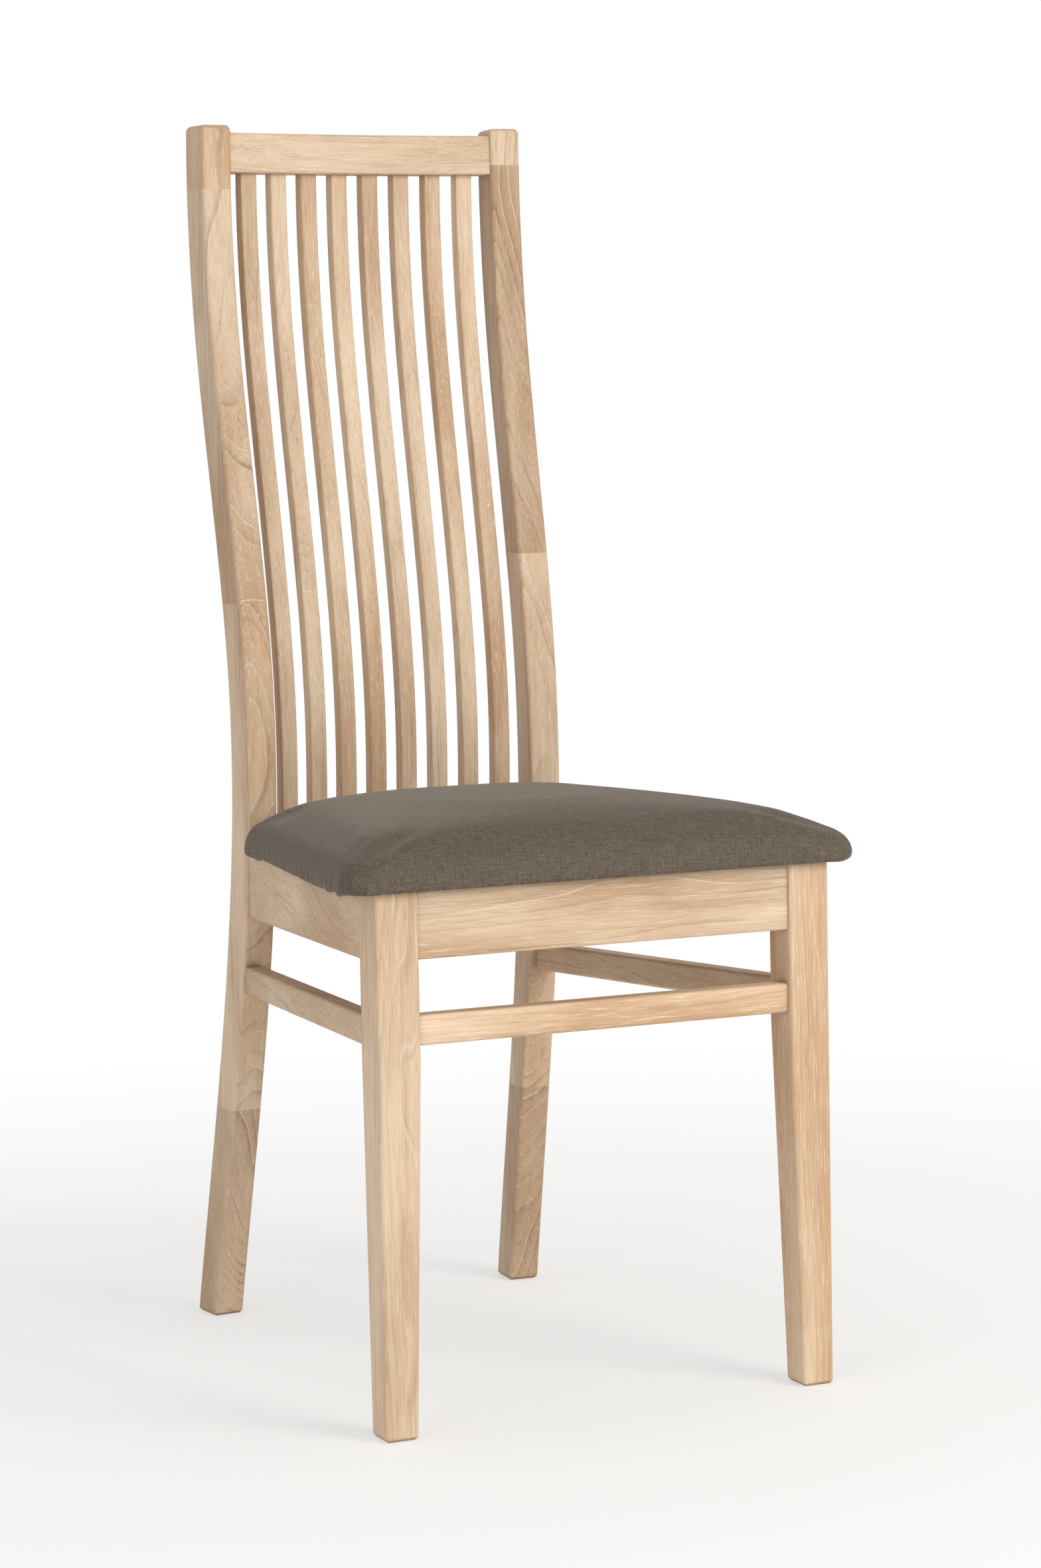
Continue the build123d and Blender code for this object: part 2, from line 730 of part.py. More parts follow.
with BuildPart() as seat_cover:
    add(outer_form.moved(on_frame))
    add(inner_form.moved(on_frame), mode=Mode.SUBTRACT)
    add(opening.moved(on_frame), mode=Mode.SUBTRACT)
    add(cover_staples.part, mode=Mode.SUBTRACT)
    add(seat_screws.part, mode=Mode.SUBTRACT)

with BuildPart() as dust_cover:
    add(dust_sheet.moved(on_frame))
    add(seat_screws.part, mode=Mode.SUBTRACT)

# ---------------------------------------------------------------- dowels and block screws
with BuildPart() as dowel:
    Cylinder(dowel_diameter / 2, dowel_length)
    chamfer(dowel.edges().filter_by(GeomType.CIRCLE), dowel_bevel)

with BuildPart() as apron_dowels:
    for place in front_apron_dowels + front_side_dowels + rear_side_dowels + rear_apron_dowels:
        add(dowel.part.moved(place))
    mirror(about=Plane.YZ)

with BuildPart() as top_rail_dowel_pins:
    for place in top_rail_dowels:
        add(dowel.part.moved(place))
    mirror(about=Plane.YZ)

with BuildPart() as corner_block_screws:
    for place in front_block_screws + rear_block_screws:
        add(screw(block_screw).moved(place))
    mirror(about=Plane.YZ)


# ---------------------------------------------------------------- write the pieces
def finish(piece, label):
    """Name a piece and write its file."""
    piece.part.label = label
    export_step(piece.part, f"parts/{label}.step")


def finish_pair(piece, name):
    """Write a right-hand piece and its mirror image."""
    with BuildPart() as left:
        mirror(piece.part, about=Plane.YZ)
    finish(piece, f"{name}_right")
    finish(left, f"{name}_left")


finish_pair(rear_leg_right, "rear_leg")
finish_pair(front_leg_right, "front_leg")
finish_pair(side_apron_right, "side_apron")
finish_pair(side_stretcher_right, "side_stretcher")
finish_pair(corner_block_front_right, "corner_block_front")
finish_pair(corner_block_rear_right, "corner_block_rear")
finish(front_apron, "front_apron")
finish(rear_apron, "rear_apron")
finish(front_stretcher, "front_stretcher")
finish(top_rail, "top_rail")
for number, slat in enumerate(slats, 1):
    finish(slat, f"back_slat_{number}")
finish(seat_board, "seat_board")
finish(foam_pad, "foam_pad")
finish(seat_cover, "seat_cover")
finish(dust_cover, "dust_cover")
finish(cover_staples, "cover_staples")
finish(seat_screws, "seat_screws")
finish(corner_block_screws, "corner_block_screws")
finish(apron_dowels, "apron_dowels")
finish(top_rail_dowel_pins, "top_rail_dowels")
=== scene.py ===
"""Dining chair: limed oak frame with a slatted back, and a padded seat in taupe cloth.

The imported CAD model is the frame. Its oak pieces keep their shapes and get their grain here; the
seat cover and foam are replaced by one simulated pad, and the staples and screws by detailed ones.
Lengths are in metres.
"""
from math import atan2, cos, pi, radians, sin

import bmesh
import bpy
import numpy as np
from mathutils import Matrix, Vector


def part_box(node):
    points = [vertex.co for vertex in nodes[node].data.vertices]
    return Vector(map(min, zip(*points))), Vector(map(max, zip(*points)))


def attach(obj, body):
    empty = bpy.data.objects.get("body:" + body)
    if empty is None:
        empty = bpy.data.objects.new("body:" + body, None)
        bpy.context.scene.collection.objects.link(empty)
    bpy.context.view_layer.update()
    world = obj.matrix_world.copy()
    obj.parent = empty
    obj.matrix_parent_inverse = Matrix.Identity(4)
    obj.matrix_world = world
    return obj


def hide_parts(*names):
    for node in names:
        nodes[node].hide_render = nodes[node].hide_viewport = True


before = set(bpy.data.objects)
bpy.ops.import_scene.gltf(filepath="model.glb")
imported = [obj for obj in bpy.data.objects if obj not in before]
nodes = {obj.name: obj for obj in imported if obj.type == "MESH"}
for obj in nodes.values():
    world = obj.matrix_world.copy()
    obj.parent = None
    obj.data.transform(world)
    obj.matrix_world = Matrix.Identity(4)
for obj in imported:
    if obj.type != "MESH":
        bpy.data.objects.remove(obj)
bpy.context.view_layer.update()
scene = bpy.context.scene
scene.view_settings.view_transform = "Standard"
MM = 0.001


# ---------------------------------------------------------------- helpers
def srgb(code):
    """A hex sRGB colour as linear RGBA."""
    parts = [int(code[i:i + 2], 16) / 255 for i in (1, 3, 5)]
    return [c / 12.92 if c <= 0.04045 else ((c + 0.055) / 1.055) ** 2.4 for c in parts] + [1.0]


def add_node(tree, kind, values=None, **settings):
    """Add a node, set its settings, and set or link its inputs."""
    node = tree.nodes.new(kind)
    for name, value in settings.items():
        setattr(node, name, value)
    for key, value in (values or {}).items():
        if isinstance(value, bpy.types.NodeSocket):
            tree.links.new(value, node.inputs[key])
        else:
            node.inputs[key].default_value = value
    return node


def per_size(*sizes_mm):
    """Mapping scales that give a pattern cells of these sizes in millimetres."""
    return [1 / (size * MM) for size in sizes_mm]


def new_material(name):
    """An empty material: its tree and its shader, already linked to the output."""
    material = bpy.data.materials.new(name)
    material.use_nodes = True
    tree = material.node_tree
    tree.nodes.clear()
    shader = tree.nodes.new("ShaderNodeBsdfPrincipled")
    output = tree.nodes.new("ShaderNodeOutputMaterial")
    tree.links.new(shader.outputs["BSDF"], output.inputs["Surface"])
    return material, tree, shader


def set_ramp(node, stops):
    """Set the stops of a colour ramp from (place, colour) pairs."""
    ramp = node.color_ramp
    while len(ramp.elements) > 1:
        ramp.elements.remove(ramp.elements[-1])
    for index, (place, colour) in enumerate(stops):
        stop = ramp.elements[0] if index == 0 else ramp.elements.new(place)
        stop.position, stop.color = place, colour


def dress(obj, material):
    """Give an object this one material."""
    obj.data.materials.clear()
    obj.data.materials.append(material)


def new_object(name, mesh):
    obj = bpy.data.objects.new(name, mesh)
    scene.collection.objects.link(obj)
    return obj


def co_array(mesh):
    co = np.empty(len(mesh.vertices) * 3)
    mesh.vertices.foreach_get("co", co)
    return co.reshape(-1, 3)


# ---------------------------------------------------------------- oak
# Limed European oak: brushed so its pores open, rubbed with white paste and sealed with matt
# lacquer. To the eye: pale straw colour, brown growth lines, chalky dashes in the pores, low sheen.
OAK_PALE = "#dfc6a9"
OAK_BASE = "#c19e7b"
OAK_LINE = "#9b7853"
OAK_LIME = "#ece0d0"
# the pore colour is also used for the painted shade in the corners where pieces meet
OAK_PORE_AND_SHADE = "#86694c"
OAK_KNOT = "#4a3424"
RING_WIDTH = 3.2 * MM
PORE_WIDTH = 0.9 * MM       # real pores are 0.3 mm wide: drawn wider so that they show
PORE_LENGTH = 22 * MM
KNOT_SPACING = 95 * MM
BEND_MM, BEND_DEPTH = (111.1, 111.1, 625), 70 * MM      # slow waves that bend the growth rings
FADE_MM = (16.67, 16.67, 90.9)                          # where the growth lines come and go
STREAK_MM = (4.762, 4.762, 200)
CLOUD_MM = (71.43, 71.43, 285.7)
BRUSH_DEPTH = 0.25 * MM


def oak(name, turn, pith, joints=(), tone=0.0, knots=0.5, figure=1.0):
    """Limed oak for one piece of timber.

    turn rotates the piece so that its grain runs along Z; pith is where the middle of the tree
    lay from it, in metres; joints are the heights where shorter staves are glued end to end;
    tone lightens or darkens the whole piece; knots and figure say how many pin knots it has and
    how strong its growth lines are.
    """
    material, tree, shader = new_material(name)
    place = add_node(tree, "ShaderNodeTexCoord").outputs["Object"]
    height = add_node(tree, "ShaderNodeSeparateXYZ", {0: place}).outputs["Z"]
    stave = None
    for joint in joints:
        above = add_node(tree, "ShaderNodeMath", {0: height, 1: joint}, operation="GREATER_THAN")
        stave = above.outputs[0] if stave is None else add_node(
            tree, "ShaderNodeMath", {0: stave, 1: above.outputs[0]}, operation="ADD").outputs[0]
    log = add_node(tree, "ShaderNodeMapping", {"Vector": place, "Rotation": turn}).outputs[0]
    shift = Vector(pith)
    if stave is None:
        log = add_node(tree, "ShaderNodeVectorMath", {0: log, 1: shift}, operation="ADD").outputs[0]
    else:
        step = add_node(tree, "ShaderNodeVectorMath", {0: stave, 1: (0.013, -0.021, 0.37)},
                        operation="MULTIPLY").outputs[0]
        log = add_node(tree, "ShaderNodeVectorMath", {0: log, 1: step}, operation="ADD").outputs[0]
        log = add_node(tree, "ShaderNodeVectorMath", {0: log, 1: shift}, operation="ADD").outputs[0]

    # growth rings round the pith, bent by slow noise
    slow = add_node(tree, "ShaderNodeMapping", {"Vector": log, "Scale": per_size(*BEND_MM)}).outputs[0]
    bend = add_node(tree, "ShaderNodeTexNoise", {"Vector": slow, "Scale": 1.0, "Detail": 2.0,
                                                "Roughness": 0.45})
    bend_out = add_node(tree, "ShaderNodeVectorMath", {0: bend.outputs["Color"], 1: (0.5, 0.5, 0.5)},
                        operation="SUBTRACT").outputs[0]
    bend_out = add_node(tree, "ShaderNodeVectorMath", {0: bend_out, 1: (BEND_DEPTH, BEND_DEPTH, 0)},
                        operation="MULTIPLY").outputs[0]
    bent = add_node(tree, "ShaderNodeVectorMath", {0: log, 1: bend_out}, operation="ADD").outputs[0]
    flat = add_node(tree, "ShaderNodeVectorMath", {0: bent, 1: (1, 1, 0)},
                    operation="MULTIPLY").outputs[0]
    radius = add_node(tree, "ShaderNodeVectorMath", {0: flat}, operation="LENGTH").outputs["Value"]
    years = add_node(tree, "ShaderNodeMath", {0: radius, 1: RING_WIDTH}, operation="DIVIDE").outputs[0]
    season = add_node(tree, "ShaderNodeMath", {0: years}, operation="FRACT").outputs[0]
    year = add_node(tree, "ShaderNodeMath", {0: years}, operation="FLOOR").outputs[0]
    luck = add_node(tree, "ShaderNodeTexWhiteNoise", {"W": year}, noise_dimensions="1D").outputs["Value"]

    # open pores, in long dashes that crowd into the early wood
    dash = add_node(tree, "ShaderNodeMapping", {
        "Vector": log, "Scale": (1 / PORE_WIDTH, 1 / PORE_WIDTH, 1 / PORE_LENGTH)}).outputs[0]
    pores = add_node(tree, "ShaderNodeTexNoise", {"Vector": dash, "Scale": 1.0, "Detail": 2.5,
                                                 "Roughness": 0.6}).outputs["Fac"]
    streak_map = add_node(tree, "ShaderNodeMapping", {
        "Vector": log, "Scale": per_size(*STREAK_MM)}).outputs[0]
    streak = add_node(tree, "ShaderNodeTexNoise", {"Vector": streak_map, "Scale": 1.0,
                                                  "Detail": 3.0}).outputs["Fac"]
    cloud_map = add_node(tree, "ShaderNodeMapping", {
        "Vector": log, "Scale": per_size(*CLOUD_MM)}).outputs[0]
    cloud = add_node(tree, "ShaderNodeTexNoise", {"Vector": cloud_map, "Scale": 1.0,
                                                 "Detail": 3.0}).outputs["Fac"]

    line = add_node(tree, "ShaderNodeValToRGB", {"Fac": season})
    set_ramp(line, [(0.0, (0.75, 0.75, 0.75, 1)), (0.12, (1, 1, 1, 1)), (0.32, (0.3, 0.3, 0.3, 1)),
                    (0.75, (0.0, 0.0, 0.0, 1)), (1.0, (0.75, 0.75, 0.75, 1))])
    strength = add_node(tree, "ShaderNodeMapRange", {
        "Value": luck, "From Min": 0.2, "From Max": 1.0, "To Min": 0.0,
        "To Max": 0.55 * figure}).outputs[0]
    line_out = add_node(tree, "ShaderNodeMath", {0: line.outputs["Color"], 1: strength},
                        operation="MULTIPLY").outputs[0]
    fade_map = add_node(tree, "ShaderNodeMapping", {
        "Vector": log, "Scale": per_size(*FADE_MM)}).outputs[0]
    fade = add_node(tree, "ShaderNodeTexNoise", {"Vector": fade_map, "Scale": 1.0,
                                                "Detail": 2.0}).outputs["Fac"]
    fade = add_node(tree, "ShaderNodeMapRange", {
        "Value": fade, "From Min": 0.36, "From Max": 0.62, "To Min": 0.1, "To Max": 1.0}).outputs[0]
    line_out = add_node(tree, "ShaderNodeMath", {0: line_out, 1: fade},
                        operation="MULTIPLY").outputs[0]
    body = add_node(tree, "ShaderNodeMapRange", {
        "Value": cloud, "From Min": 0.36, "From Max": 0.62, "To Min": 0.0, "To Max": 1.0}).outputs[0]
    colour = add_node(tree, "ShaderNodeMix", {0: body, 6: srgb(OAK_BASE), 7: srgb(OAK_PALE)},
                      data_type="RGBA").outputs[2]
    colour = add_node(tree, "ShaderNodeMix", {0: line_out, 6: colour, 7: srgb(OAK_LINE)},
                      data_type="RGBA").outputs[2]
    streak_out = add_node(tree, "ShaderNodeMapRange", {
        "Value": streak, "From Min": 0.5, "From Max": 0.75, "To Min": 0.0, "To Max": 0.3}).outputs[0]
    colour = add_node(tree, "ShaderNodeMix", {0: streak_out, 6: colour, 7: srgb(OAK_LINE)},
                      data_type="RGBA").outputs[2]
    lime = add_node(tree, "ShaderNodeMapRange", {
        "Value": pores, "From Min": 0.56, "From Max": 0.7, "To Min": 0.0, "To Max": 0.5}).outputs[0]
    colour = add_node(tree, "ShaderNodeMix", {0: lime, 6: colour, 7: srgb(OAK_LIME)},
                      data_type="RGBA").outputs[2]
    chalk = add_node(tree, "ShaderNodeValToRGB", {"Fac": season})
    set_ramp(chalk, [(0.0, (0, 0, 0, 1)), (0.86, (0, 0, 0, 1)), (0.92, (1, 1, 1, 1)),
                     (0.98, (0, 0, 0, 1))])
    chalk_out = add_node(tree, "ShaderNodeMath", {0: chalk.outputs["Color"], 1: strength},
                         operation="MULTIPLY").outputs[0]
    colour = add_node(tree, "ShaderNodeMix", {0: chalk_out, 6: colour, 7: srgb(OAK_LIME)},
                      data_type="RGBA").outputs[2]
    dark = add_node(tree, "ShaderNodeMapRange", {
        "Value": pores, "From Min": 0.42, "From Max": 0.3, "To Min": 0.0, "To Max": 0.3}).outputs[0]
    colour = add_node(tree, "ShaderNodeMix", {0: dark, 6: colour, 7: srgb(OAK_PORE_AND_SHADE)},
                      data_type="RGBA").outputs[2]

    # pin knots: only some cells of the pattern hold one
    knot_map = add_node(tree, "ShaderNodeMapping", {
        "Vector": log, "Scale": [1 / KNOT_SPACING * k for k in (1, 1, 0.55)]}).outputs[0]
    cells = add_node(tree, "ShaderNodeTexVoronoi", {"Vector": knot_map, "Scale": 1.0,
                                                    "Randomness": 1.0}, feature="F1")
    here = add_node(tree, "ShaderNodeMapRange", {
        "Value": cells.outputs["Distance"], "From Min": 0.05, "From Max": 0.022,
        "To Min": 0.0, "To Max": 1.0}, interpolation_type="SMOOTHSTEP").outputs[0]
    kind = add_node(tree, "ShaderNodeSeparateColor", {0: cells.outputs["Color"]}).outputs[0]
    some = add_node(tree, "ShaderNodeMath", {0: kind, 1: knots}, operation="LESS_THAN").outputs[0]
    knot = add_node(tree, "ShaderNodeMath", {0: here, 1: some}, operation="MULTIPLY").outputs[0]
    colour = add_node(tree, "ShaderNodeMix", {0: knot, 6: colour, 7: srgb(OAK_KNOT)},
                      data_type="RGBA").outputs[2]

    # every second stave is darker, and painted shade from an ambient occlusion mask darkens the corners
    # where pieces meet
    if stave is None:
        value = 1.0 + tone
    else:
        odd = add_node(tree, "ShaderNodeMath", {0: stave, 1: 2.0}, operation="MODULO").outputs[0]
        value = add_node(tree, "ShaderNodeMapRange", {
            "Value": odd, "To Min": 0.93 + tone, "To Max": 1.03 + tone}).outputs[0]
    colour = add_node(tree, "ShaderNodeHueSaturation", {"Color": colour, "Value": value}).outputs[0]
    corner = add_node(tree, "ShaderNodeAmbientOcclusion", {"Distance": 6 * MM}, samples=4)
    # painted shade: the oak is darkened towards the pore colour where ambient occlusion finds pieces
    # close by
    painted_joint_shade = add_node(tree, "ShaderNodeMapRange", {
        "Value": corner.outputs["AO"], "From Min": 0.35, "From Max": 0.9, "To Min": 0.5,
        "To Max": 0.0}).outputs[0]
    colour = add_node(tree, "ShaderNodeMix", {0: painted_joint_shade, 6: colour, 7: srgb(OAK_PORE_AND_SHADE)},
                      data_type="RGBA").outputs[2]
    tree.links.new(colour, shader.inputs["Base Color"])

    gloss = add_node(tree, "ShaderNodeMapRange", {
        "Value": pores, "From Min": 0.3, "From Max": 0.7, "To Min": 0.62, "To Max": 0.48}).outputs[0]
    tree.links.new(gloss, shader.inputs["Roughness"])
    shader.inputs["IOR"].default_value = 1.5
    relief = add_node(tree, "ShaderNodeMath", {0: pores, 1: line_out}, operation="SUBTRACT").outputs[0]
    bump = add_node(tree, "ShaderNodeBump", {"Height": relief, "Strength": 0.5,
                                            "Distance": BRUSH_DEPTH}).outputs[0]
    tree.links.new(bump, shader.inputs["Normal"])
    return material


GRAIN_UP = (0, 0, 0)
GRAIN_ACROSS = (0, radians(90), 0)
GRAIN_BACK = (radians(90), 0, 0)
timber = {
    # the two rear legs get a darker tone as painted shade, for the shade they stand in below the seat
    "rear_leg_left": (GRAIN_UP, (0.10, 0.055, 0.0), (0.195, 0.649, 1.0135), -0.03, 0.2, 1.7),
    "rear_leg_right": (GRAIN_UP, (-0.07, 0.04, 0.9), (0.19, 0.685, 1.037), -0.09, 0.2, 1.7),
    "front_leg_left": (GRAIN_UP, (0.25, 0.33, 0.2), (), 0.0, 0.4, 1.2),
    "front_leg_right": (GRAIN_UP, (-0.10, 0.34, 0.5), (), 0.08, 0.4, 1.2),
    "top_rail": (GRAIN_ACROSS, (0.9, 0.02, 0.1), (), -0.06, 0.1, 1.0),
    "rear_apron": (GRAIN_ACROSS, (0.35, 0.0, 0.7), (), -0.03, 0.3, 1.0),
    "front_apron": (GRAIN_ACROSS, (-0.36, 0.32, 0.3), (), -0.03, 0.1, 1.7),
    "front_stretcher": (GRAIN_ACROSS, (-0.25, 0.38, 0.9), (), 0.12, 0.1, 1.2),
    "side_apron_left": (GRAIN_BACK, (0.1, 0.33, 0.2), (), 0.02, 0.0, 1.3),
    "side_apron_right": (GRAIN_BACK, (-0.1, 0.35, 0.8), (), 0.0, 0.3, 1.3),
    "side_stretcher_left": (GRAIN_BACK, (0.12, 0.25, 0.1), (), -0.05, 0.1, 1.2),
    "side_stretcher_right": (GRAIN_BACK, (-0.12, 0.26, 0.6), (), 0.03, 0.1, 1.2),
}
for piece_name, (turn, pith, joints, tone, knots, figure) in timber.items():
    dress(nodes[piece_name],
          oak(f"limed_oak_{piece_name}", turn, pith, joints, tone, knots, figure))
slat_names = sorted(name for name in nodes if name.startswith("back_slat"))
for number, piece_name in enumerate(slat_names):
    pith = (0.05 + 0.031 * number, -0.12 - 0.013 * (number % 3), 0.4 * number)
    dress(nodes[piece_name], oak(f"limed_oak_{piece_name}", GRAIN_UP, pith,
                                 tone=0.03 * ((number * 5) % 4 - 1.5) / 1.5 - 0.05, knots=0.1))


# ---------------------------------------------------------------- seat pad, its form
# Foam on a board under one stretched piece of cloth, turned under and stapled. Its places are
# worked out on the top of the seat frame, which falls towards the back.
PAD_PROFILE_MM = (          # (in from the widest line, up from the frame), from below to the crown
    (60, 0.4), (30, 0.4), (11, 0.2), (6, -5), (2.4, -3.6), (0.4, 2.5), (0, 10), (0.9, 16.5),
    (3.6, 22.5), (8.5, 27), (17, 31.5), (29, 35.8), (45, 40.4), (66, 45.2), (92, 49.6), (118, 52.4))
PAD_CROWN_MM = 54
FRONT_CORNER, REAR_CORNER = 30 * MM, 27 * MM
FRONT_GROWTH, REAR_GROWTH = 0.8, 0.2    # further in, corners are rounder by this share of the inset
CORNER_LIMIT = 0.85         # share of what is left to the middle of the pad
PAD_SPREAD = 2.5 * MM       # the soft pad bulges this much beyond its plain shape
PAD_REMESH = 5 * MM
PAD_PRESSURE = 4.0
PAD_SWELL_LIMIT = 4 * MM
SIM_FRAMES = 20
IRON_PASSES = 14            # evens out the small wrinkles of the simulation
PUCKER_DEPTH = 0.9 * MM     # gathers in the turned cloth round the corners
PUCKER_SPACING = 15 * MM
OPENING_EDGE = 42 * MM      # width of the turned cloth
OPENING_LIFT = 2.2 * MM

cover_low, cover_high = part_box("seat_cover")
lining = co_array(nodes["dust_cover"].data)


def lining_underside(front):
    """Lowest point of the lining, at its front or its back edge: (y, z)."""
    y = lining[:, 1].min() if front else lining[:, 1].max()
    return y, lining[np.abs(lining[:, 1] - y) < 2 * MM, 2].min()


front_edge_y, front_edge_z = lining_underside(True)
back_edge_y, back_edge_z = lining_underside(False)
FALL = (front_edge_z - back_edge_z) / (back_edge_y - front_edge_y)


def frame_height(y):
    """Height of the top of the seat frame at this distance back."""
    return front_edge_z - 0.6 * MM - FALL * (y - front_edge_y)


def pad_corners():
    """The four corners of the pad's outer lines, before they are rounded."""
    co = co_array(nodes["seat_cover"].data)
    side = co[co[:, 0] > 0]
    ahead = side[np.argmax(side[:, 0])]
    behind = side[np.argmax(side[:, 0] + 0.35 * side[:, 1])]
    slope = (ahead[0] - behind[0]) / (behind[1] - ahead[1])
    front_x = ahead[0] + slope * (ahead[1] - cover_low.y)
    back_x = behind[0] - slope * (cover_high.y - behind[1])
    return [Vector((front_x, cover_low.y)), Vector((back_x, cover_high.y)),
            Vector((-back_x, cover_high.y)), Vector((-front_x, cover_low.y))]


def rounded_ring(corners, radii, inset, steps=10):
    """Points round a polygon with rounded corners, moved in by the inset."""
    points = []
    depth = corners[1].y - corners[0].y
    for i, corner in enumerate(corners):
        before = (corners[i - 1] - corner).normalized()
        after = (corners[(i + 1) % len(corners)] - corner).normalized()
        half = before.angle(after) / 2
        inward = (before + after).normalized()
        growth = FRONT_GROWTH if corner.y == corners[0].y else REAR_GROWTH
        radius = min(radii[i] + growth * inset, CORNER_LIMIT * (depth / 2 - inset))
        start = corner + inward * (inset / sin(half))
        centre = start + inward * (radius / sin(half))
        reach = pi / 2 - half
        first = atan2(-inward.y, -inward.x)
        turn = 1 if before.cross(after) < 0 else -1
        for step in range(steps + 1):
            angle = first - turn * reach * (1 - 2 * step / steps)
            points.append(centre + radius * Vector((cos(angle), sin(angle))))
    return points


def pad_blank():
    """A closed mesh of the pad before it is blown up."""
    corners = pad_corners()
    radii = (FRONT_CORNER, REAR_CORNER, REAR_CORNER, FRONT_CORNER)
    bm = bmesh.new()
    rings = []
    for inset, height in PAD_PROFILE_MM:
        rings.append([
            bm.verts.new((p.x, p.y, frame_height(p.y) + height * MM))
            for p in rounded_ring(corners, radii, inset * MM - PAD_SPREAD)])
    for low, high in zip(rings, rings[1:]):
        for i in range(len(low)):
            j = (i + 1) % len(low)
            bm.faces.new((low[i], low[j], high[j], high[i]))
    bm.faces.new(rings[0])
    middle = sum((v.co for v in rings[-1]), Vector()) / len(rings[-1])
    top = bm.verts.new((0, middle.y, frame_height(middle.y) + PAD_CROWN_MM * MM))
    for i in range(len(rings[-1])):
        bm.faces.new((rings[-1][i], rings[-1][(i + 1) % len(rings[-1])], top))
    bmesh.ops.recalc_face_normals(bm, faces=bm.faces)
    mesh = bpy.data.meshes.new("seat_pad")
    bm.to_mesh(mesh)
    bm.free()
    obj = new_object("seat_pad", mesh)
    remesh = obj.modifiers.new("remesh", "REMESH")
    remesh.mode, remesh.voxel_size = "VOXEL", PAD_REMESH
    apply_modifiers(obj)
    return obj


def apply_modifiers(obj):
    """Turn the evaluated mesh into the object's own mesh."""
    evaluated = obj.evaluated_get(bpy.context.evaluated_depsgraph_get())
    mesh = bpy.data.meshes.new_from_object(evaluated)
    obj.modifiers.clear()
    obj.data = mesh


def swell(obj):
    """Blow the pad up with cloth simulation, held by its flat underside."""
    before = co_array(obj.data)
    held = obj.vertex_groups.new(name="held")
    flat = [i for i, (x, y, z) in enumerate(before) if z < frame_height(y) + 3 * MM]
    held.add(flat, 1.0, "REPLACE")
    cloth = obj.modifiers.new("cloth", "CLOTH")
    settings = cloth.settings
    settings.vertex_group_mass = "held"
    settings.use_pressure, settings.uniform_pressure_force = True, PAD_PRESSURE
    settings.effector_weights.gravity = 0
    cloth.point_cache.frame_start, cloth.point_cache.frame_end = 1, SIM_FRAMES
    for step in range(1, SIM_FRAMES + 1):
        scene.frame_set(step)
    apply_modifiers(obj)
    move = co_array(obj.data) - before
    size = np.linalg.norm(move, axis=1, keepdims=True)
    after = before + move * np.minimum(1, PAD_SWELL_LIMIT / np.maximum(size, 1e-9))
    obj.data.vertices.foreach_set("co", after.ravel())
    scene.frame_set(1)
    obj.vertex_groups.clear()
    iron = obj.modifiers.new("iron", "SMOOTH")
    iron.factor, iron.iterations = 0.5, IRON_PASSES
    apply_modifiers(obj)


def edge_distance(co):
    """How far each point lies in from the pad's widest line, with its outward direction."""
    corners = pad_corners()
    ring = np.array(rounded_ring(corners, (FRONT_CORNER, REAR_CORNER, REAR_CORNER, FRONT_CORNER),
                                 0.0, steps=24))
    start, end = ring, np.roll(ring, -1, axis=0)
    best = np.full(len(co), 1e9)
    along = np.zeros(len(co))
    away = np.zeros((len(co), 2))
    travelled = 0.0
    for a, b in zip(start, end):
        way = b - a
        length = np.linalg.norm(way)
        if length < 1e-7:
            continue
        t = np.clip((co[:, :2] - a) @ way / length ** 2, 0, 1)
        near = a + t[:, None] * way
        gap = np.linalg.norm(co[:, :2] - near, axis=1)
        closer = gap < best
        best[closer] = gap[closer]
        along[closer] = (travelled + t * length)[closer]
        away[closer] = np.array((way[1], -way[0])) / length
        travelled += length
    return best, along, away


def settle(obj):
    """Flatten the underside on the frame, raise it inside the turned cloth, gather the corners."""
    co = co_array(obj.data)
    inset, along, away = edge_distance(co)
    base = np.array([frame_height(y) for y in co[:, 1]])
    height = co[:, 2] - base
    under = height < 3 * MM
    resting = under & (inset > 9 * MM)
    height[resting] = 0.4 * MM
    inside = under & (inset > OPENING_EDGE)
    height[inside] = OPENING_LIFT
    corner = np.clip((np.abs(co[:, 0]) - 0.10) / 0.05, 0, 1)
    low = np.clip(1 - np.abs(height - 1 * MM) / (13 * MM), 0, 1)
    wave = np.sin(2 * pi * along / PUCKER_SPACING) * np.sin(along / (29 * MM) + 1)
    depth = PUCKER_DEPTH * wave * corner * low * (inset < 30 * MM)
    co[:, :2] += away * depth[:, None]
    co[:, 2] = base + height
    obj.data.vertices.foreach_set("co", co.ravel())
    obj.data.update()


def lay_cloth(obj):
    """A UV map in metres of cloth: flat on top, and running down over the edges."""
    co = co_array(obj.data)
    inset, along, away = edge_distance(co)
    base = np.array([frame_height(y) for y in co[:, 1]])
    drop = np.clip(24 * MM - (co[:, 2] - base), 0, None) * (inset < 20 * MM)
    spread = co[:, :2] + away * drop[:, None]
    uv = obj.data.uv_layers.new(name="cloth")
    index = np.empty(len(obj.data.loops), int)
    obj.data.loops.foreach_get("vertex_index", index)
    uv.data.foreach_set("uv", spread[index].astype(np.float32).ravel())


seat_pad = pad_blank()
swell(seat_pad)
settle(seat_pad)
smooth = seat_pad.modifiers.new("smooth", "SUBSURF")
smooth.levels = smooth.render_levels = 1
apply_modifiers(seat_pad)
seat_pad.data.shade_smooth()
lay_cloth(seat_pad)

